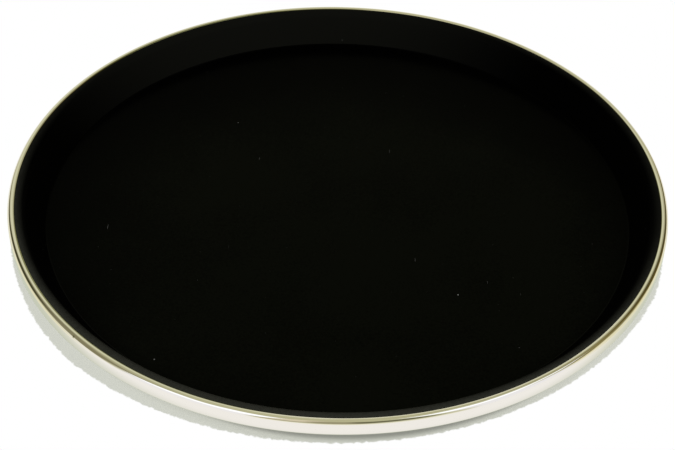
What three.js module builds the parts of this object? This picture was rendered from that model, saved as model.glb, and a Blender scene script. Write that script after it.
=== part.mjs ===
// Round serving tray: a pressed steel pan, a bonded rubber liner and the adhesive film between them.
// Millimetres, +Z up. The origin is the centre of the base's underside, where the tray stands.

import * as THREE from 'three';

// Whole tray
const TRAY_DIAMETER = 355;
const TRAY_HEIGHT = 21;
const WALL_ANGLE = THREE.MathUtils.degToRad(56.5); // slope of the wall above the table

// Steel pan
const SHEET = 0.6; // sheet thickness
const BEAD_RADIUS = 2.3; // outside radius of the half-round bead
const SKIRT_DEPTH = 8.2; // crest of the bead to the skirt's lower edge
const HEM_DEPTH = 2.5; // lower edge of the skirt to the end of its hem
const HEM_GAP = 0.3; // slot between the skirt and its hem

// Rubber liner
const LINER = 3; // thickness over the floor and the wall
const CREASE_RADIUS = 1.2; // inside round between floor and wall
const LIP_FLAT = 0.6; // flat ring beside the bead
const LIP_WRAP = THREE.MathUtils.degToRad(20.5); // how far the lip climbs round the bead

// Adhesive film
const FILM = 0.2; // thickness
const FILM_MARGIN = 1.5; // the film stops this far below the bead
const BOND_CLEARANCE = 0.05; // on both faces of the film, and between lip and bead

// Facets
const TURN_STEPS = 72; // round the tray's axis
const ARC_STEP = THREE.MathUtils.degToRad(19); // along an arc of a section

// Depths above the pan's inside face
const FILM_UNDER = BOND_CLEARANCE;
const FILM_TOP = FILM_UNDER + FILM;
const LINER_UNDER = FILM_TOP + BOND_CLEARANCE;
const LINER_TOP = LINER_UNDER + LINER;

// Centres of the section's arcs, as (radius, height)
const BEAD = new THREE.Vector2(TRAY_DIAMETER / 2 - BEAD_RADIUS, TRAY_HEIGHT - BEAD_RADIUS);
const CORNER_RADIUS = CREASE_RADIUS + LINER_TOP; // inside corner of the pan
const CORNER_HEIGHT = SHEET + CORNER_RADIUS;
const CORNER = new THREE.Vector2(wallRadius(CORNER_HEIGHT, CORNER_RADIUS), CORNER_HEIGHT);

// Directions of an arc's ends, as angles in the section
const DOWN = -Math.PI / 2;
const OUT = 0;
const UP = Math.PI / 2;
const IN = Math.PI;
const ACROSS_WALL = UP + WALL_ANGLE; // square to the wall, up and towards the axis

// Radius of the wall's face at a height. The wall leaves the bead at a tangent, and depth is
// measured from the pan's inside face, so it is below zero on the outside.
function wallRadius(height, depth) {
  const reach = BEAD_RADIUS + depth;
  const rise = height - BEAD.y;
  return BEAD.x + (rise * Math.cos(WALL_ANGLE) - reach) / Math.sin(WALL_ANGLE);
}

function polar(centre, radius, angle) {
  return new THREE.Vector2(centre.x + radius * Math.cos(angle), centre.y + radius * Math.sin(angle));
}

// Points along an arc from one angle to another, both ends included.
function arc(centre, radius, from, to) {
  const steps = Math.max(2, Math.ceil(Math.abs(to - from) / ARC_STEP));
  const at = (step) => polar(centre, radius, from + ((to - from) * step) / steps);
  return Array.from({ length: steps + 1 }, (_, step) => at(step));
}

// A face that runs from the axis over the floor and round the corner, at a depth.
function floorAndCorner(depth) {
  const axisPoint = new THREE.Vector2(0, SHEET + depth);
  return [axisPoint, ...arc(CORNER, CORNER_RADIUS - depth, DOWN, ACROSS_WALL - Math.PI)];
}

// A point on the wall's face, a distance down the slope from where the bead begins.
function onWall(depth, downSlope) {
  const wallTop = polar(BEAD, BEAD_RADIUS + depth, ACROSS_WALL);
  return polar(wallTop, -downSlope, WALL_ANGLE);
}

// Turns a closed section, given counter-clockwise with the radius to the right, about +Z.
function turned(name, section, material) {
  const geometry = new THREE.LatheGeometry(section, TURN_STEPS);
  geometry.rotateX(Math.PI / 2);
  const mesh = new THREE.Mesh(geometry, material);
  mesh.name = name;
  return mesh;
}

// One sheet from the middle of the base to the end of the hem: up the inside of the pan, over the
// bead, down the skirt and round the fold, then back along the sheet's other face.
function steelPan() {
  const material = new THREE.MeshStandardMaterial({ color: 0xcfcdc4, roughness: 0.12, metalness: 1 });
  const skirtFace = TRAY_DIAMETER / 2;
  const foldRadius = SHEET + HEM_GAP / 2;
  const fold = new THREE.Vector2(skirtFace - foldRadius, TRAY_HEIGHT - SKIRT_DEPTH + foldRadius);
  const hemEnd = TRAY_HEIGHT - SKIRT_DEPTH + HEM_DEPTH;
  const section = [
    ...floorAndCorner(-SHEET),
    ...arc(BEAD, BEAD_RADIUS - SHEET, ACROSS_WALL, OUT),
    ...arc(fold, HEM_GAP / 2, OUT, -IN),
    new THREE.Vector2(fold.x - HEM_GAP / 2, hemEnd),
    new THREE.Vector2(fold.x - foldRadius, hemEnd),
    ...arc(fold, foldRadius, -IN, OUT),
    ...arc(BEAD, BEAD_RADIUS, OUT, ACROSS_WALL),
    ...floorAndCorner(0).reverse(),
  ];
  return turned('steel_pan', section, material);
}

function bondFilm() {
  const material = new THREE.MeshStandardMaterial({ color: 0x1c1a17, roughness: 0.8, metalness: 0 });
  const section = [
    ...floorAndCorner(FILM_UNDER),
    onWall(FILM_UNDER, FILM_MARGIN),
    onWall(FILM_TOP, FILM_MARGIN),
    ...floorAndCorner(FILM_TOP).reverse(),
  ];
  return turned('bond_film', section, material);
}

// The liner lies on the film, closes over its upper end, climbs the bead, and rounds over from a
// flat ring beside the bead into the wall. The lip's radius is the one that meets both.
function rubberLiner() {
  const material = new THREE.MeshStandardMaterial({ color: 0x0b0b0a, roughness: 0.45, metalness: 0 });
  const lipOnBead = BEAD_RADIUS + BOND_CLEARANCE;
  const lipEdge = polar(BEAD, lipOnBead, ACROSS_WALL - LIP_WRAP);
  const lipTop = lipEdge.y - BEAD.y;
  const flatEnd = lipEdge.x - LIP_FLAT;
  const room = BEAD_RADIUS + LINER_TOP - lipTop * Math.cos(WALL_ANGLE);
  const lipRadius = (room - (BEAD.x - flatEnd) * Math.sin(WALL_ANGLE)) / (1 - Math.cos(WALL_ANGLE));
  const lip = new THREE.Vector2(flatEnd, lipEdge.y - lipRadius);
  const filmEnd = FILM_MARGIN - BOND_CLEARANCE;
  const section = [
    ...floorAndCorner(LINER_UNDER),
    onWall(LINER_UNDER, filmEnd),
    onWall(BOND_CLEARANCE, filmEnd),
    ...arc(BEAD, lipOnBead, ACROSS_WALL, ACROSS_WALL - LIP_WRAP),
    ...arc(lip, lipRadius, UP, ACROSS_WALL),
    ...floorAndCorner(LINER_TOP).reverse(),
  ];
  return turned('rubber_liner', section, material);
}

const tray = new THREE.Group();
tray.add(steelPan(), bondFilm(), rubberLiner());

export default tray;
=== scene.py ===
"""Looks of a round serving tray: polished steel pan, bonded film, black rubber liner, white table."""

import math

import bmesh
import bpy
from mathutils import Matrix, Vector


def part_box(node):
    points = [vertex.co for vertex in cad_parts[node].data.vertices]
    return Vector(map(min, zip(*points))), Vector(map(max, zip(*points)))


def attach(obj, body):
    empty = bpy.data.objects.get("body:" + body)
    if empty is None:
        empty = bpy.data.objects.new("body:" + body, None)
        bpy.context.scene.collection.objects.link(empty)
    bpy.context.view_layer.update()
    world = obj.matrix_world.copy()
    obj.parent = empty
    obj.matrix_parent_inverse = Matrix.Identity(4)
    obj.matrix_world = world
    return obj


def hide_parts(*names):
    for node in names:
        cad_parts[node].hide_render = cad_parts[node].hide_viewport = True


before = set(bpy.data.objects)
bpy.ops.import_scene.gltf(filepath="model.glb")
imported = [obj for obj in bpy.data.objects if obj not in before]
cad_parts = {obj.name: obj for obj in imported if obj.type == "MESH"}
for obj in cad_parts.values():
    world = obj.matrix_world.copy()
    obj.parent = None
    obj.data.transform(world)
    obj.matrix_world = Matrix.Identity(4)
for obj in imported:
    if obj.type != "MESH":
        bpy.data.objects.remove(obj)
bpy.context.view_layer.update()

MM = 0.001
UP = Vector((0, 0, 1))
ORIGIN = Vector((0, 0, 0))
WHITE = (1, 1, 1)

# Sizes that the frame gives
_, PAN_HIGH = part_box("steel_pan")
LINER_LOW, LINER_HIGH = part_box("rubber_liner")
TRAY_RADIUS = PAN_HIGH.x
TRAY_HEIGHT = PAN_HIGH.z
LINER_UNDER = LINER_LOW.z
LIP_TOP = LINER_HIGH.z
LIP_EDGE = LINER_HIGH.x

# Sizes of the pressed pan
SHEET = 0.6 * MM
WALL_ANGLE = math.radians(56.5)
BEAD_RADIUS = 2.3 * MM
SKIRT_DEPTH = 8.2 * MM
HEM_DEPTH = 2.5 * MM
HEM_GAP = 0.3 * MM

# Sizes of the moulded liner. The film under it stops a margin below the bead, and a clearance is left on
# both faces of the film and between lip and bead.
LINER = 3.0 * MM
CREASE_RADIUS = 1.2 * MM
LIP_FLAT = 0.6 * MM
FILM_MARGIN = 1.5 * MM
BOND_CLEARANCE = 0.05 * MM

# How finely the sections are drawn and turned, the lands at the ends of a straight run, and the shortest
# run that has them
TURN_STEPS = 288
ARC_STEP = math.radians(6)
LAND = 0.25 * MM
LANDED_RUN = 4 * LAND
MERGE = 0.002 * MM
SHARP_EDGE = math.radians(40)

# The bead's centre, as radius and height, the inner radius of the pan's corner, and the floor's height
BEAD = Vector((TRAY_RADIUS - BEAD_RADIUS, TRAY_HEIGHT - BEAD_RADIUS))
CORNER_RADIUS = CREASE_RADIUS + LINER + LINER_UNDER - SHEET
FLOOR_TOP = LINER_UNDER + LINER

# Where one finish ends and the next begins, by height
BASE_FINISH_TOP = 0.4 * SHEET
FLOOR_FINISH_TOP = FLOOR_TOP + 0.6 * MM

# The middle of the values that a noise takes
NOISE_MIDDLE = 0.5

# Polishing rings on the steel: rings to the metre across, and streaks to the metre along them
RINGS = 2500.0
RING_STREAKS = 8.0
RING_DETAIL = 3.0
RING_BUMP = 0.2

# Patches that wiping leaves
SMUDGE_DETAIL = 5.0
SMUDGE_SWIRL = 0.6

# Lint on the rubber: kind, cells to the metre, share of cells that hold a speck, its radius in cells,
# how many times narrower it is from left to right, and its brightness
LINT_KINDS = [
    ("specks", 33.0, 0.12, 0.016, 1.0, 1.0),
    ("dust", 110.0, 0.25, 0.02, 1.0, 0.25),
    ("fibres", 11.0, 0.06, 0.03, 22.0, 0.35),
]

# Shares of that radius and that brightness, from speck to speck, and where a speck's soft edge lies
LINT_SIZES = (0.3, 1)
LINT_LEVELS = (0.15, 1)
LINT_EDGE = (0.6, 1)
LINT_COLOUR = (0.2, 0.2, 0.19)

# The band along the lip, scuffs with painted sheen on them: the front side, where the sheen is strongest
# and widest, how far round from it the band fades, how closely the wide part keeps to it, and the band's
# edge, widths, depths and broken grain
SHEEN_SIDE = Vector((-0.21, -0.98, 0))
SHEEN_FADE = (-0.35, 0.85)
SHEEN_FOCUS = 8.0
LIP_BAND_EDGE = LIP_EDGE - LIP_FLAT
LIP_BAND_NARROW = 3.7 * MM
LIP_BAND_WIDE = 30 * MM
LIP_BAND_FADE = (LIP_TOP - 3.0 * MM, LIP_TOP - 1.5 * MM)
LIP_BAND_LEAST = 0.2
LIP_BAND_GRAIN = 700.0
LIP_BAND_DETAIL = 3.0
LIP_BAND_BREAKS = (0.55, 1.45)

# Painted light on the wall, on the side that faces the camera
LIT_WALL_SIDE = Vector((-0.26, 0.966, 0))
LIT_WALL_FADE = (0.43, 0.95)
LIT_WALL_SHARE = 0.18

# The dark line on the bead where the liner's lip ends against it. It wanders at some azimuths, counted
# from the front to the right, each with its reach to both sides, both in degrees, and a shift outwards.
DARK_MARK_STRENGTH = 0.9
DARK_LINE_FADE = (LIP_EDGE + 0.15 * MM, LIP_EDGE + 0.43 * MM)
DARK_LINE_LOW = (LIP_TOP - 1.0 * MM, LIP_TOP - 0.6 * MM)
DARK_LINE_WANDER = [
    (-40, 42, 0.5 * MM),
    (33, 26, -0.3 * MM),
    (150, 30, -0.38 * MM),
    (-145, 28, 0.32 * MM),
]

# A nick in the bead's outer flank, with its azimuth in degrees
NICK_AZIMUTH = -45.5
NICK_RADIUS = TRAY_RADIUS - 0.5 * MM
NICK_HEIGHT = TRAY_HEIGHT - 0.9 * MM
NICK_FADE = (0.4 * MM, 0.9 * MM)
NICK_SHADE = 0.75

# The part of the floor that serving has hazed, which also carries painted light, lighter in the middle
# towards the front and darker towards the wall, with its patches and grain
HAZE_AND_LIGHT_CENTRE = Vector((0.008, -0.045, 0))
HAZE_AND_LIGHT_FADE = (0.195, 0.09)
PATCH_SCALE = 14.0
PATCH_DETAIL = 3.0
PATCH_SWIRL = 0.4
PATCH_SPAN = (0.3, 0.7)
PATCH_LEVELS = (0.75, 1.2)
HAZE_GRAIN = 900.0
HAZE_GRAIN_DETAIL = 2.0
HAZE_GRAIN_SPAN = (0.25, 0.75)
HAZE_GRAIN_LEVELS = (0.6, 1.4)

# Colours of the steel, the dark marks on it, the rubber and the adhesive, and grain of the rubber
STEEL_COLOUR = (0.86, 0.825, 0.765)
DARK_MARK_COLOUR = (0.13, 0.13, 0.015)
RUBBER_BLACK = (0.0002, 0.0002, 0.00015)
RUBBER_GRAIN = 1800.0
RUBBER_GRAIN_DETAIL = 2.0
RUBBER_BUMP = 0.5
ADHESIVE_COLOURS = ((0.008, 0.0075, 0.006), (0.014, 0.013, 0.011))
ADHESIVE_ROUGHNESS = (0.6, 0.85)

# The photograph's camera, about the middle of the lip's plane
VIEW_DISTANCE = 0.8406
VIEW_ELEVATION = math.radians(38.53)
AIM_FORWARD = 0.0369
VIEW_ROLL = math.radians(1.2)
LENS = 82.45
SENSOR = 36.0

# The table
TABLE_RADIUS = 6.0
TABLE_SEGMENTS = 96
TABLE_DROP = 0.2 * MM
TABLE_COLOUR = (0.88, 0.885, 0.865)
TABLE_ROUGHNESS = 0.8
TABLE_SPECULAR = 0.05

# The tray's shadow, outside which the table turns plain white: it ends at a circle towards the front and
# at another at the sides, has a ragged edge, and is evened by a flat tone
SHADOW_CENTRE = Vector((-0.003, 0.0167, 0))
SHADOW_FRONT = 0.1872
SHADOW_SIDES = 0.1777
SHADOW_FADE = (-0.5 * MM, 0.5 * MM)
SHADOW_RAGGED = 2.8 * MM
SHADOW_TEETH = 400.0
SHADOW_TEETH_DETAIL = 5.0
SHADOW_TONE = (0.64, 0.66, 0.585)
SHADOW_EVENNESS = 0.6

# The darker table close to where the tray stands
CONTACT_CENTRE = Vector((0.003, -0.012, 0))
CONTACT_FADE = (0.154, 0.1578)
CONTACT_SHADE = 0.54

# The table that polished metal shows: a shadow of its own, which starts at the wall's foot and fades out
# past the skirt, and a warm stretch at the left and right. Under the base, reflections pass through it.
MIRROR_FROM = (0.160, 0.168)
MIRROR_CENTRE = Vector((-0.001, 0, 0))
MIRROR_FADE = (0.182, 0.192)
MIRROR_SHADE = (0.62, 0.665, 0.56)
WARM_SIDES = (0.125, 0.185)
WARM_FRONT = (-0.165, -0.11)
WARM_BACK = (-0.03, 0.09)
WARM_TINT = (0.85, 0.835, 0.61)
BASE_FADE = (0.1572, 0.158)

# Colours of the room that polished metal shows, by elevation in degrees
ROOM = [
    (-90, (0.36, 0.36, 0.33)),
    (0, (0.82, 0.82, 0.68)),
    (8, (0.76, 0.75, 0.58)),
    (16, (0.62, 0.62, 0.45)),
    (40, (0.62, 0.62, 0.44)),
    (55, (0.52, 0.52, 0.34)),
    (90, (0.53, 0.525, 0.33)),
]

# Panels of the room: name, azimuth from the camera's side to the right, elevation and soft edge, which
# are in degrees, and colour
PANELS = [
    ("left back wall", (-200, -152), (20, 46), 8, (0.68, 0.69, 0.49)),
    ("right back wall", (170, 200), (24, 44), 8, (0.72, 0.72, 0.50)),
    ("right back wall, top", (130, 200), (42, 58), 10, (0.44, 0.44, 0.26)),
    ("right back wall, far end", (146, 172), (24, 44), 8, (0.50, 0.49, 0.32)),
    ("right back wall, far corner", (148, 173), (40, 56), 8, (0.34, 0.33, 0.20)),
    ("right back wall, foot", (160, 200), (-10, 26), 6, (0.92, 0.92, 0.76)),
    ("left flag, foot", (-143, -96), (-10, 12), 6, (0.68, 0.67, 0.40)),
    ("left flag, top", (-140, -84), (50, 68), 10, (0.44, 0.43, 0.27)),
    ("left flag", (-143, -72), (8, 54), 10, (0.25, 0.235, 0.14)),
    ("left flag, core", (-138, -104), (10, 38), 10, (0.06, 0.058, 0.028)),
    ("right flag, foot", (100, 150), (-10, 14), 6, (0.72, 0.66, 0.34)),
    ("right flag", (84, 150), (16, 56), 10, (0.26, 0.225, 0.09)),
    ("right flag, core", (112, 149), (10, 46), 10, (0.08, 0.07, 0.03)),
    ("right flag, near core", (114, 132), (12, 46), 10, (0.10, 0.076, 0.018)),
    ("right wall", (66, 94), (-10, 24), 8, (0.86, 0.82, 0.56)),
    ("camera wall", (-28, -6), (32, 78), 8, (0.74, 0.68, 0.51)),
    ("camera wall, low", (-28, -9), (17, 34), 6, (0.42, 0.40, 0.28)),
    ("camera wall, foot", (-30, 38), (-10, 13), 8, (0.95, 0.94, 0.78)),
    ("camera", (-9, 12), (22, 66), 8, (0.36, 0.34, 0.215)),
    ("camera stand", (7, 35), (30, 62), 6, (0.15, 0.15, 0.08)),
    ("left board", (-66, -25), (-10, 40), 6, (0.97, 0.98, 1.04)),
    ("right board", (42, 76), (-10, 54), 8, (0.96, 0.97, 1.03)),
    ("left softbox", (-72, -23), (35, 59), 5, (1.25, 1.30, 1.40)),
    ("left softbox, near end", (-56, -24), (52, 68), 5, (1.25, 1.30, 1.40)),
    ("right softbox", (41, 93), (52, 74), 5, (1.25, 1.30, 1.40)),
    ("right softbox, far end", (88, 107), (48, 67), 6, (1.25, 1.30, 1.40)),
]

# Soft lamps, which light the tray but show only as panels: azimuth and elevation that each fills
SOFTBOXES = [
    ("left_softbox", (-70, -26), (37, 58)),
    ("right_softbox", (42, 80), (38, 66)),
]
SOFTBOX_DISTANCE = 2.5
SOFTBOX_RADIANCE = 7.2
AMBIENT = 0.3
AMBIENT_COLOUR = (1.0, 1.0, 0.98)


class Section:
    """A section in the XZ plane, drawn stretch by stretch from a first point."""

    def __init__(self, bm, radius, height):
        self.bm = bm
        self.end = bmesh.ops.create_vert(bm, co=(radius, 0, height))["vert"][0]

    def point(self, radius, height):
        grown = bmesh.ops.extrude_vert_indiv(self.bm, verts=[self.end])
        self.end = grown["verts"][0]
        self.end.co = (radius, 0, height)

    def line(self, radius, height):
        """A straight run with a short land at each end, which keeps its shading flat."""
        start = self.end.co.copy()
        run = Vector((radius, 0, height)) - start
        if run.length > LANDED_RUN:
            for along in (LAND, run.length - LAND):
                place = start + run.normalized() * along
                self.point(place.x, place.z)
        self.point(radius, height)

    def arc(self, centre, turn):
        """Turns the end about a centre; a positive turn goes from +X towards +Z."""
        steps = math.ceil(abs(turn) / ARC_STEP)
        pivot = (centre[0], 0, centre[1])
        spun = bmesh.ops.spin(
            self.bm, geom=[self.end], cent=pivot, axis=(0, -1, 0), angle=turn, steps=steps
        )
        self.end = next(g for g in spun["geom_last"] if isinstance(g, bmesh.types.BMVert))


def turn_section(bm):
    """Turns the drawn section about the tray's axis into a closed body."""
    section = bm.verts[:] + bm.edges[:]
    bmesh.ops.spin(
        bm, geom=section, cent=ORIGIN, axis=UP, angle=math.tau, steps=TURN_STEPS, use_merge=True
    )
    bmesh.ops.remove_doubles(bm, verts=bm.verts[:], dist=MERGE)
    bmesh.ops.recalc_face_normals(bm, faces=bm.faces[:])


def finish_piece(bm, name, node, materials, zone):
    """Makes the piece that stands for a CAD node, with a material for each zone of its faces."""
    for face in bm.faces:
        face.smooth = True
        face.material_index = zone(face.calc_center_median())
    mesh = bpy.data.meshes.new(name)
    bm.to_mesh(mesh)
    bm.free()
    for material in materials:
        mesh.materials.append(material)
    mesh.set_sharp_from_angle(angle=SHARP_EDGE)
    piece = bpy.data.objects.new(name, mesh)
    bpy.context.scene.collection.objects.link(piece)
    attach(piece, "root")
    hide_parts(node)


def wall_radius(height, reach):
    """Radius of a wall face at a height; reach is its distance from the bead's centre."""
    rise = height - BEAD.y
    return BEAD.x + (rise * math.cos(WALL_ANGLE) - reach) / math.sin(WALL_ANGLE)


def across_wall(centre, distance):
    """A point at a distance from a centre, square to the wall, up and towards the axis."""
    return centre + distance * Vector((-math.sin(WALL_ANGLE), math.cos(WALL_ANGLE)))


CORNER_HEIGHT = SHEET + CORNER_RADIUS
CORNER = Vector((wall_radius(CORNER_HEIGHT, BEAD_RADIUS + CORNER_RADIUS), CORNER_HEIGHT))


def draw_pan(bm):
    """One sheet: base, corner, wall, bead, skirt and hem, then back along its other face."""
    fold_radius = SHEET + HEM_GAP / 2
    skirt_low = TRAY_HEIGHT - SKIRT_DEPTH
    fold = Vector((TRAY_RADIUS - fold_radius, skirt_low + fold_radius))
    hem_end = skirt_low + HEM_DEPTH
    over_bead = WALL_ANGLE + math.pi / 2
    pen = Section(bm, 0, 0)
    pen.line(CORNER.x, 0)
    pen.arc(CORNER, WALL_ANGLE)
    pen.line(*across_wall(BEAD, BEAD_RADIUS - SHEET))
    pen.arc(BEAD, -over_bead)
    pen.line(TRAY_RADIUS - SHEET, fold.y)
    pen.arc(fold, -math.pi)
    pen.line(fold.x - HEM_GAP / 2, hem_end)
    pen.line(fold.x - fold_radius, hem_end)
    pen.line(fold.x - fold_radius, fold.y)
    pen.arc(fold, math.pi)
    pen.line(TRAY_RADIUS, BEAD.y)
    pen.arc(BEAD, over_bead)
    pen.line(*across_wall(CORNER, -CORNER_RADIUS))
    pen.arc(CORNER, -WALL_ANGLE)
    pen.line(0, SHEET)


def draw_liner(bm):
    """The liner: underside on the film, lip against the bead, wall, crease and floor."""
    reach_under = BEAD_RADIUS + LINER_UNDER - SHEET
    reach_lip = BEAD_RADIUS + BOND_CLEARANCE
    film_end = FILM_MARGIN - BOND_CLEARANCE
    down_slope = film_end * Vector((math.cos(WALL_ANGLE), math.sin(WALL_ANGLE)))
    edge = Vector((LIP_EDGE, LIP_TOP))
    wrap = WALL_ANGLE - math.atan2(BEAD.x - edge.x, edge.y - BEAD.y)
    flat_end = edge.x - LIP_FLAT
    room = reach_under + LINER - (edge.y - BEAD.y) * math.cos(WALL_ANGLE)
    lip_radius = (room - (BEAD.x - flat_end) * math.sin(WALL_ANGLE)) / (1 - math.cos(WALL_ANGLE))
    lip = Vector((flat_end, LIP_TOP - lip_radius))
    pen = Section(bm, 0, LINER_UNDER)
    pen.line(CORNER.x, LINER_UNDER)
    pen.arc(CORNER, WALL_ANGLE)
    pen.line(*(across_wall(BEAD, reach_under) - down_slope))
    pen.line(*(across_wall(BEAD, reach_lip) - down_slope))
    pen.line(*across_wall(BEAD, reach_lip))
    pen.arc(BEAD, -wrap)
    pen.line(flat_end, LIP_TOP)
    pen.arc(lip, WALL_ANGLE)
    pen.line(*across_wall(CORNER, -CREASE_RADIUS))
    pen.arc(CORNER, -WALL_ANGLE)
    pen.line(0, FLOOR_TOP)


def from_azimuth(degrees, radius=1.0, height=0.0):
    """A place by its azimuth, which runs from the front to the right, its radius and its height."""
    turn = math.radians(degrees)
    return Vector((radius * math.sin(turn), -radius * math.cos(turn), height))


def add_node(tree, kind, **values):
    node = tree.nodes.new(kind)
    for name, value in values.items():
        setattr(node, name, value)
    return node


def feed(tree, value, socket):
    """Feeds a socket from another one, or sets it to a plain number or colour."""
    if isinstance(value, bpy.types.NodeSocket):
        tree.links.new(value, socket)
    elif isinstance(value, tuple):
        socket.default_value = (*value, 1)
    else:
        socket.default_value = value


def maths(tree, operation, *inputs):
    """A Math node fed by sockets or plain numbers."""
    node = add_node(tree, "ShaderNodeMath", operation=operation)
    for socket, value in zip(node.inputs, inputs):
        feed(tree, value, socket)
    return node.outputs["Value"]


def spread(tree, value, span, ends=(0, 1), soft=True):
    """Maps a span of a value onto two ends and holds it outside the span."""
    node = add_node(tree, "ShaderNodeMapRange", interpolation_type="SMOOTHSTEP" if soft else "LINEAR")
    feed(tree, value, node.inputs["Value"])
    for label, limit in zip(("From Min", "From Max", "To Min", "To Max"), (*span, *ends)):
        feed(tree, limit, node.inputs[label])
    return node.outputs["Result"]


def soft_window(tree, value, span, soft):
    """1 inside a span and 0 outside it, with soft ends."""
    rise = spread(tree, value, (span[0] - soft / 2, span[0] + soft / 2))
    fall = spread(tree, value, (span[1] - soft / 2, span[1] + soft / 2), (1, 0))
    return maths(tree, "MULTIPLY", rise, fall)


def between(tree, factor, low, high):
    """A colour between two others."""
    node = add_node(tree, "ShaderNodeMix", data_type="RGBA")
    for label, value in (("Factor", factor), ("A", low), ("B", high)):
        feed(tree, value, node.inputs[label])
    return node.outputs["Result"]


def blend_shaders(tree, factor, first, second):
    """A shader between two others."""
    node = add_node(tree, "ShaderNodeMixShader")
    for socket, source in zip(node.inputs, (factor, first, second)):
        tree.links.new(source, socket)
    return node.outputs["Shader"]


def place_on_piece(tree):
    """The place on the piece, whole and as its three parts."""
    place = add_node(tree, "ShaderNodeTexCoord").outputs["Object"]
    parts = add_node(tree, "ShaderNodeSeparateXYZ")
    tree.links.new(place, parts.inputs["Vector"])
    return place, parts.outputs


def vector_of(tree, *parts):
    node = add_node(tree, "ShaderNodeCombineXYZ")
    for socket, part in zip(node.inputs, parts):
        feed(tree, part, socket)
    return node.outputs["Vector"]


def distance_from(tree, place, centre):
    node = add_node(tree, "ShaderNodeVectorMath", operation="DISTANCE")
    tree.links.new(place, node.inputs[0])
    node.inputs[1].default_value = centre
    return node.outputs["Value"]


def distance_from_axis(tree, parts):
    return distance_from(tree, vector_of(tree, parts["X"], parts["Y"], 0.0), ORIGIN)


def towards(tree, place, side):
    """How far a place lies towards a side."""
    node = add_node(tree, "ShaderNodeVectorMath", operation="DOT_PRODUCT")
    tree.links.new(place, node.inputs[0])
    node.inputs[1].default_value = side
    return node.outputs["Value"]


def noise_on(tree, place, scale, detail, swirl=0.0):
    node = add_node(tree, "ShaderNodeTexNoise")
    tree.links.new(place, node.inputs["Vector"])
    for label, value in (("Scale", scale), ("Detail", detail), ("Distortion", swirl)):
        feed(tree, value, node.inputs[label])
    return node.outputs["Fac"]


def new_group(name, inputs):
    """A node group that puts out one mask; returns its tree, its inputs and the mask's socket."""
    tree = bpy.data.node_groups.new(name, "ShaderNodeTree")
    for label, value in inputs.items():
        socket = tree.interface.new_socket(label, in_out="INPUT", socket_type="NodeSocketFloat")
        socket.default_value = value
    tree.interface.new_socket("Mask", in_out="OUTPUT", socket_type="NodeSocketFloat")
    given = add_node(tree, "NodeGroupInput")
    result = add_node(tree, "NodeGroupOutput")
    return tree, given.outputs, result.inputs["Mask"]


def mask_of(tree, group, **values):
    """Places a group, with its own values where it has some, and returns its mask."""
    node = add_node(tree, "ShaderNodeGroup", node_tree=group)
    for name, value in values.items():
        node.inputs[name.capitalize()].default_value = value
    return node.outputs["Mask"]


def ring_marks_group():
    """Fine rings left by polishing a turned part, fading in and out round the axis."""
    tree, given, mask = new_group("ring_marks", {"Rings": RINGS, "Streaks": RING_STREAKS})
    _, parts = place_on_piece(tree)
    along = maths(tree, "ADD", distance_from_axis(tree, parts), parts["Z"])
    streaks = [maths(tree, "MULTIPLY", parts[axis], given["Streaks"]) for axis in ("X", "Y")]
    rings = maths(tree, "MULTIPLY", along, given["Rings"])
    marks = noise_on(tree, vector_of(tree, *streaks, rings), scale=1.0, detail=RING_DETAIL)
    tree.links.new(marks, mask)
    return tree


def smudges_group():
    """Soft patches, as wiping and handling leave on a surface."""
    tree, given, mask = new_group("smudges", {"Scale": 20.0, "Contrast": 1.5})
    place, _ = place_on_piece(tree)
    patches = noise_on(tree, place, given["Scale"], SMUDGE_DETAIL, SMUDGE_SWIRL)
    centred = maths(tree, "SUBTRACT", patches, NOISE_MIDDLE)
    scaled = maths(tree, "MULTIPLY_ADD", centred, given["Contrast"], NOISE_MIDDLE)
    tree.links.new(spread(tree, scaled, (0, 1), soft=False), mask)
    return tree


def lint_group():
    """Sparse specks: one in each lit cell, of a size and a brightness that differ from cell to cell."""
    tree, given, mask = new_group("lint", {"Scale": 33.0, "Share": 0.1, "Radius": 0.014, "Stretch": 1.0})
    _, parts = place_on_piece(tree)
    stretched = maths(tree, "MULTIPLY", parts["X"], given["Stretch"])
    cells = add_node(tree, "ShaderNodeTexVoronoi", voronoi_dimensions="2D")
    tree.links.new(vector_of(tree, stretched, parts["Y"], parts["Z"]), cells.inputs["Vector"])
    tree.links.new(given["Scale"], cells.inputs["Scale"])
    chance = add_node(tree, "ShaderNodeSeparateColor")
    tree.links.new(cells.outputs["Color"], chance.inputs["Color"])
    lit = maths(tree, "LESS_THAN", chance.outputs["Red"], given["Share"])
    size = spread(tree, chance.outputs["Green"], (0, 1), LINT_SIZES)
    reach = maths(tree, "MULTIPLY", size, given["Radius"])
    inside = spread(tree, maths(tree, "DIVIDE", cells.outputs["Distance"], reach), LINT_EDGE, (1, 0))
    bright = spread(tree, chance.outputs["Blue"], (0, 1), LINT_LEVELS)
    tree.links.new(maths(tree, "MULTIPLY", lit, maths(tree, "MULTIPLY", inside, bright)), mask)
    return tree


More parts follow.
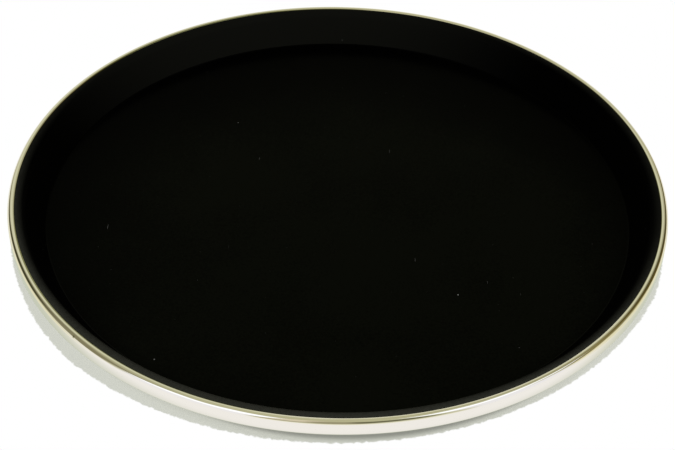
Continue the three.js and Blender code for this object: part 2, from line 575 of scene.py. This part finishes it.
def scuffs_and_light_group():
    """Scuffs along the lip with painted sheen, strongest and widest at the front, and painted light on
    the wall opposite.
    """
    tree, given, mask = new_group("scuffs_and_painted_light", {"Least": LIP_BAND_LEAST, "Grain": LIP_BAND_GRAIN})
    place, parts = place_on_piece(tree)
    # Painted sheen: towards the front the band is stronger and wider than the scuffs alone
    to_sheen_side = towards(tree, place, SHEEN_SIDE / TRAY_RADIUS)
    strength = maths(tree, "MAXIMUM", spread(tree, to_sheen_side, SHEEN_FADE), given["Least"])
    wide = maths(tree, "POWER", spread(tree, to_sheen_side, (0, 1), soft=False), SHEEN_FOCUS)
    width = spread(tree, wide, (0, 1), (LIP_BAND_NARROW, LIP_BAND_WIDE), soft=False)
    inward = maths(tree, "SUBTRACT", LIP_BAND_EDGE, distance_from_axis(tree, parts))
    band = spread(tree, maths(tree, "DIVIDE", inward, width), (0, 1), (1, 0), soft=False)
    on_lip = spread(tree, parts["Z"], LIP_BAND_FADE)
    grain = noise_on(tree, place, given["Grain"], LIP_BAND_DETAIL)
    broken = spread(tree, grain, (0, 1), LIP_BAND_BREAKS, soft=False)
    whole = maths(tree, "MULTIPLY", maths(tree, "MULTIPLY", band, on_lip), strength)
    # Painted light: the wall is made lighter on the side that faces the camera
    dust = spread(tree, towards(tree, place, LIT_WALL_SIDE / TRAY_RADIUS), LIT_WALL_FADE, (0, LIT_WALL_SHARE))
    tree.links.new(maths(tree, "MAXIMUM", maths(tree, "MULTIPLY", whole, broken), dust), mask)
    return tree


def dark_marks_group():
    """A dark line along the lip's end on the bead, which wanders, and a nick in its flank."""
    tree, given, mask = new_group("dark_marks", {"Strength": DARK_MARK_STRENGTH})
    place, parts = place_on_piece(tree)
    radius = distance_from_axis(tree, parts)
    for azimuth, reach, shift in DARK_LINE_WANDER:
        ahead = towards(tree, place, from_azimuth(azimuth))
        near = [LIP_EDGE * math.cos(math.radians(turn)) for turn in (reach, reach / 2)]
        radius = maths(tree, "SUBTRACT", radius, spread(tree, ahead, near, (0, shift)))
    inner = spread(tree, radius, DARK_LINE_FADE, (1, 0))
    line = maths(tree, "MULTIPLY", inner, spread(tree, parts["Z"], DARK_LINE_LOW))
    from_nick = distance_from(tree, place, from_azimuth(NICK_AZIMUTH, NICK_RADIUS, NICK_HEIGHT))
    nick = spread(tree, from_nick, NICK_FADE, (NICK_SHADE, 0))
    tree.links.new(maths(tree, "MULTIPLY", maths(tree, "MAXIMUM", line, nick), given["Strength"]), mask)
    return tree


def haze_and_light_group():
    """A faint haze over the middle of the floor, in soft patches, with painted light: lighter in the
    middle towards the front, darker towards the wall.
    """
    tree, given, mask = new_group("haze_and_painted_light", {"Scale": PATCH_SCALE, "Grain": HAZE_GRAIN})
    place, _ = place_on_piece(tree)
    # Painted light and shade: lighter in the middle towards the front, darker towards the wall
    middle = spread(tree, distance_from(tree, place, HAZE_AND_LIGHT_CENTRE), HAZE_AND_LIGHT_FADE)
    wide_noise = noise_on(tree, place, given["Scale"], PATCH_DETAIL, PATCH_SWIRL)
    patches = spread(tree, wide_noise, PATCH_SPAN, PATCH_LEVELS)
    fine_noise = noise_on(tree, place, given["Grain"], HAZE_GRAIN_DETAIL)
    grain = spread(tree, fine_noise, HAZE_GRAIN_SPAN, HAZE_GRAIN_LEVELS, soft=False)
    tree.links.new(maths(tree, "MULTIPLY", maths(tree, "MULTIPLY", middle, patches), grain), mask)
    return tree


def new_material(name):
    material = bpy.data.materials.new(name)
    material.use_nodes = True
    tree = material.node_tree
    return material, tree, tree.nodes["Principled BSDF"]


def add_bump(tree, shader, height, distance, strength):
    bump = add_node(tree, "ShaderNodeBump")
    bump.inputs["Distance"].default_value = distance
    bump.inputs["Strength"].default_value = strength
    tree.links.new(height, bump.inputs["Height"])
    tree.links.new(bump.outputs["Normal"], shader.inputs["Normal"])


def steel(name, groups, bright, dull, ring_depth):
    """Polished steel whose roughness runs from bright to dull under smudges and polishing rings."""
    material, tree, shader = new_material(name)
    dark_marks = mask_of(tree, groups["dark_marks"])
    tree.links.new(between(tree, dark_marks, STEEL_COLOUR, DARK_MARK_COLOUR), shader.inputs["Base Color"])
    shader.inputs["Metallic"].default_value = 1.0
    rings = mask_of(tree, groups["ring_marks"])
    wipes = mask_of(tree, groups["smudges"], scale=28.0, contrast=1.8)
    both = maths(tree, "MULTIPLY", rings, wipes)
    tree.links.new(spread(tree, both, (0, 1), (bright, dull), soft=False), shader.inputs["Roughness"])
    add_bump(tree, shader, rings, ring_depth, RING_BUMP)
    return material


def add_lint(tree, groups, amount):
    """All kinds of lint as one mask, in an amount from 0 to 1."""
    lint = 0.0
    for label, scale, share, radius, stretch, brightness in LINT_KINDS:
        kind = mask_of(
            tree, groups["lint"], scale=scale, share=share * amount, radius=radius, stretch=stretch
        )
        kind.node.label = label
        lint = maths(tree, "MAXIMUM", lint, maths(tree, "MULTIPLY", kind, brightness))
    return lint


def rubber(name, groups, marks_and_light, worn_and_lit, specular, roughness, grain_depth, lint):
    """Black rubber, greyed where it is worn and where light is painted on it, with a fine grain, wiped
    patches and specks of lint.
    """
    material, tree, shader = new_material(name)
    shader.inputs["Specular IOR Level"].default_value = specular
    wipes = mask_of(tree, groups["smudges"], scale=22.0, contrast=1.6)
    tree.links.new(spread(tree, wipes, (0, 1), roughness, soft=False), shader.inputs["Roughness"])
    worn_and_lit_colour = between(tree, mask_of(tree, groups[marks_and_light]), RUBBER_BLACK, worn_and_lit)
    colour = between(tree, add_lint(tree, groups, lint), worn_and_lit_colour, LINT_COLOUR)
    tree.links.new(colour, shader.inputs["Base Color"])
    place, _ = place_on_piece(tree)
    grain = noise_on(tree, place, RUBBER_GRAIN, RUBBER_GRAIN_DETAIL)
    add_bump(tree, shader, grain, grain_depth, RUBBER_BUMP)
    return material


def adhesive(groups):
    """Cured dark contact adhesive."""
    material, tree, shader = new_material("contact_adhesive")
    wipes = mask_of(tree, groups["smudges"], scale=60.0, contrast=1.4)
    roughness = spread(tree, wipes, (0, 1), ADHESIVE_ROUGHNESS, soft=False)
    tree.links.new(roughness, shader.inputs["Roughness"])
    tree.links.new(between(tree, wipes, *ADHESIVE_COLOURS), shader.inputs["Base Color"])
    return material


def make_pan(groups):
    polished = steel("polished_steel", groups, bright=0.045, dull=0.1, ring_depth=0.002 * MM)
    base = steel("worn_base_steel", groups, bright=0.2, dull=0.42, ring_depth=0.01 * MM)
    bm = bmesh.new()
    draw_pan(bm)
    turn_section(bm)
    finish_piece(
        bm, "tray_pan", "steel_pan", [polished, base],
        lambda centre: 1 if centre.z < BASE_FINISH_TOP else 0,
    )


def make_liner(groups):
    floor = rubber(
        "rubber_floor", groups, marks_and_light="haze_and_painted_light", worn_and_lit=(0.0021, 0.00235, 0.00135),
        specular=0.006, roughness=(0.16, 0.24), grain_depth=0.01 * MM, lint=0.7,
    )
    wall = rubber(
        "rubber_wall", groups, marks_and_light="scuffs_and_painted_light", worn_and_lit=(0.0235, 0.024, 0.019),
        specular=0.004, roughness=(0.34, 0.44), grain_depth=0.01 * MM, lint=0.4,
    )
    bm = bmesh.new()
    draw_liner(bm)
    turn_section(bm)
    finish_piece(
        bm, "tray_liner", "rubber_liner", [floor, wall],
        lambda centre: 0 if centre.z < FLOOR_FINISH_TOP else 1,
    )


def dress_film(groups):
    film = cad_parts["bond_film"]
    film.data.materials.clear()
    film.data.materials.append(adhesive(groups))


def outside_shadow(tree, place, radius):
    """0 inside the tray's shadow and 1 outside it, with a ragged edge."""
    past_front = maths(tree, "SUBTRACT", distance_from(tree, place, SHADOW_CENTRE), SHADOW_FRONT)
    past_sides = maths(tree, "SUBTRACT", radius, SHADOW_SIDES)
    past_edge = maths(tree, "MAXIMUM", past_front, past_sides)
    noise = noise_on(tree, place, SHADOW_TEETH, SHADOW_TEETH_DETAIL)
    teeth = maths(tree, "SUBTRACT", noise, NOISE_MIDDLE)
    return spread(tree, maths(tree, "MULTIPLY_ADD", teeth, SHADOW_RAGGED, past_edge), SHADOW_FADE)


def table_in_metal(tree, place, parts):
    """Colour of the table that polished metal shows."""
    aside = spread(tree, maths(tree, "ABSOLUTE", parts["X"]), WARM_SIDES)
    past_front_end = spread(tree, parts["Y"], WARM_FRONT)
    before_back_end = spread(tree, parts["Y"], WARM_BACK, (1, 0))
    warm = maths(tree, "MULTIPLY", aside, maths(tree, "MULTIPLY", past_front_end, before_back_end))
    open_table = between(tree, warm, WHITE, WARM_TINT)
    past_shadow = spread(tree, distance_from(tree, place, MIRROR_CENTRE), MIRROR_FADE)
    return between(tree, past_shadow, MIRROR_SHADE, open_table)


def table_material():
    """White, with the tray's shadow kept under it and round it, and clear from below."""
    material, tree, shader = new_material("white_table")
    shader.inputs["Roughness"].default_value = TABLE_ROUGHNESS
    shader.inputs["Specular IOR Level"].default_value = TABLE_SPECULAR
    path = add_node(tree, "ShaderNodeLightPath").outputs
    place, parts = place_on_piece(tree)
    radius = distance_from(tree, place, ORIGIN)

    # The lit table and the flat tone of its shadow, both darker close to the tray
    past_contact = spread(tree, distance_from(tree, place, CONTACT_CENTRE), CONTACT_FADE)
    table_colour, shadow_tone = (
        between(tree, past_contact, tuple(CONTACT_SHADE * part for part in tone), tone)
        for tone in (TABLE_COLOUR, SHADOW_TONE)
    )
    tree.links.new(table_colour, shader.inputs["Base Color"])

    # What the camera and the metal see in place of the lit table
    lit = outside_shadow(tree, place, radius)
    seen_share = spread(tree, lit, (0, 1), (SHADOW_EVENNESS, 1), soft=False)
    seen = maths(tree, "MULTIPLY", path["Is Camera Ray"], seen_share)
    mirrored = maths(tree, "MULTIPLY", path["Is Glossy Ray"], spread(tree, radius, MIRROR_FROM))
    seen_colour = between(tree, lit, shadow_tone, WHITE)
    mirrored_colour = table_in_metal(tree, place, parts)
    glow = add_node(tree, "ShaderNodeEmission")
    glow_colour = between(tree, path["Is Camera Ray"], mirrored_colour, seen_colour)
    tree.links.new(glow_colour, glow.inputs["Color"])
    glow_share = maths(tree, "MAXIMUM", seen, mirrored)
    upper = blend_shaders(tree, glow_share, shader.outputs["BSDF"], glow.outputs["Emission"])

    # Clear from below, and to reflections under the base
    from_below = add_node(tree, "ShaderNodeNewGeometry").outputs["Backfacing"]
    from_base = maths(tree, "MULTIPLY", path["Is Glossy Ray"], spread(tree, radius, BASE_FADE, (1, 0)))
    clear_share = maths(tree, "MAXIMUM", from_below, from_base)
    clear = add_node(tree, "ShaderNodeBsdfTransparent").outputs["BSDF"]
    surface = blend_shaders(tree, clear_share, upper, clear)
    tree.links.new(surface, tree.nodes["Material Output"].inputs["Surface"])
    return material


def make_table():
    bm = bmesh.new()
    bmesh.ops.create_circle(bm, cap_ends=True, segments=TABLE_SEGMENTS, radius=TABLE_RADIUS)
    bmesh.ops.translate(bm, vec=(0, 0, -TABLE_DROP), verts=bm.verts[:])
    mesh = bpy.data.meshes.new("table")
    bm.to_mesh(mesh)
    bm.free()
    mesh.materials.append(table_material())
    table = bpy.data.objects.new("table", mesh)
    bpy.context.scene.collection.objects.link(table)


def room_colour(tree):
    """Colour of the room by direction: a ramp over elevation with panels laid on it."""
    parts = add_node(tree, "ShaderNodeSeparateXYZ")
    tree.links.new(add_node(tree, "ShaderNodeTexCoord").outputs["Generated"], parts.inputs["Vector"])
    elevation = maths(tree, "DEGREES", maths(tree, "ARCSINE", parts.outputs["Z"]))
    to_camera = maths(tree, "MULTIPLY", parts.outputs["Y"], -1)
    azimuth = maths(tree, "DEGREES", maths(tree, "ARCTAN2", parts.outputs["X"], to_camera))
    ramp = add_node(tree, "ShaderNodeValToRGB")
    stops = ramp.color_ramp.elements
    lowest, highest = ROOM[0][0], ROOM[-1][0]
    for degrees, _ in ROOM[1:-1]:
        stops.new((degrees - lowest) / (highest - lowest))
    for stop, (_, colour) in zip(stops, ROOM):
        stop.color = (*colour, 1)
    tree.links.new(spread(tree, elevation, (lowest, highest), soft=False), ramp.inputs["Fac"])
    colour = ramp.outputs["Color"]
    for label, across, rise, soft, tint in PANELS:
        width = soft_window(tree, azimuth, across, soft)
        height = soft_window(tree, elevation, rise, soft)
        colour = between(tree, maths(tree, "MULTIPLY", width, height), colour, tint)
        colour.node.label = label
    return colour


def make_room():
    """White behind the object, even soft light on it, and a studio in its polished metal."""
    world = bpy.data.worlds.new("room")
    bpy.context.scene.world = world
    world.use_nodes = True
    tree = world.node_tree
    soft = tree.nodes["Background"]
    soft.inputs["Color"].default_value = (*AMBIENT_COLOUR, 1)
    soft.inputs["Strength"].default_value = AMBIENT
    walls = add_node(tree, "ShaderNodeBackground")
    tree.links.new(room_colour(tree), walls.inputs["Color"])
    white = add_node(tree, "ShaderNodeBackground")
    white.inputs["Color"].default_value = (*WHITE, 1)
    path = add_node(tree, "ShaderNodeLightPath").outputs
    soft_light, studio, backdrop = (node.outputs["Background"] for node in (soft, walls, white))
    mirrored = blend_shaders(tree, path["Is Glossy Ray"], soft_light, studio)
    seen = blend_shaders(tree, path["Is Camera Ray"], mirrored, backdrop)
    tree.links.new(seen, tree.nodes["World Output"].inputs["Surface"])


def make_softbox(name, across, rise):
    """A soft lamp that faces the tray and fills a span of azimuth and of elevation, in degrees."""
    azimuth, elevation = (sum(span) / 2 for span in (across, rise))
    half_width, half_height = (math.radians(span[1] - span[0]) / 2 for span in (across, rise))
    level = SOFTBOX_DISTANCE * math.cos(math.radians(elevation))
    height = SOFTBOX_DISTANCE * math.sin(math.radians(elevation))
    data = bpy.data.lights.new(name, "AREA")
    data.shape = "RECTANGLE"
    data.size = 2 * level * math.tan(half_width)
    data.size_y = 2 * SOFTBOX_DISTANCE * math.tan(half_height)
    data.energy = SOFTBOX_RADIANCE * math.pi * data.size * data.size_y
    lamp = bpy.data.objects.new(name, data)
    lamp.visible_camera = False
    lamp.visible_glossy = False
    place = from_azimuth(azimuth, level, height)
    facing = (-place).to_track_quat("-Z", "Y").to_matrix()
    lamp.matrix_world = Matrix.Translation(place) @ facing.to_4x4()
    bpy.context.scene.collection.objects.link(lamp)


def make_camera():
    data = bpy.data.cameras.new("camera")
    data.lens = LENS
    data.sensor_width = SENSOR
    camera = bpy.data.objects.new("camera", data)
    bpy.context.scene.collection.objects.link(camera)
    rim_centre = Vector((0, 0, LIP_TOP))
    eye = rim_centre + VIEW_DISTANCE * Vector((0, -math.cos(VIEW_ELEVATION), math.sin(VIEW_ELEVATION)))
    aim = rim_centre + Vector((0, -AIM_FORWARD, 0))
    look = (aim - eye).to_track_quat("-Z", "Y").to_matrix() @ Matrix.Rotation(VIEW_ROLL, 3, "Z")
    camera.matrix_world = Matrix.Translation(eye) @ look.to_4x4()
    bpy.context.scene.camera = camera


def main():
    groups = {
        "ring_marks": ring_marks_group(),
        "smudges": smudges_group(),
        "lint": lint_group(),
        "scuffs_and_painted_light": scuffs_and_light_group(),
        "dark_marks": dark_marks_group(),
        "haze_and_painted_light": haze_and_light_group(),
    }
    make_camera()
    make_pan(groups)
    make_liner(groups)
    dress_film(groups)
    make_table()
    make_room()
    for name, across, rise in SOFTBOXES:
        make_softbox(name, across, rise)
    bpy.context.scene.view_settings.view_transform = "Standard"


main()
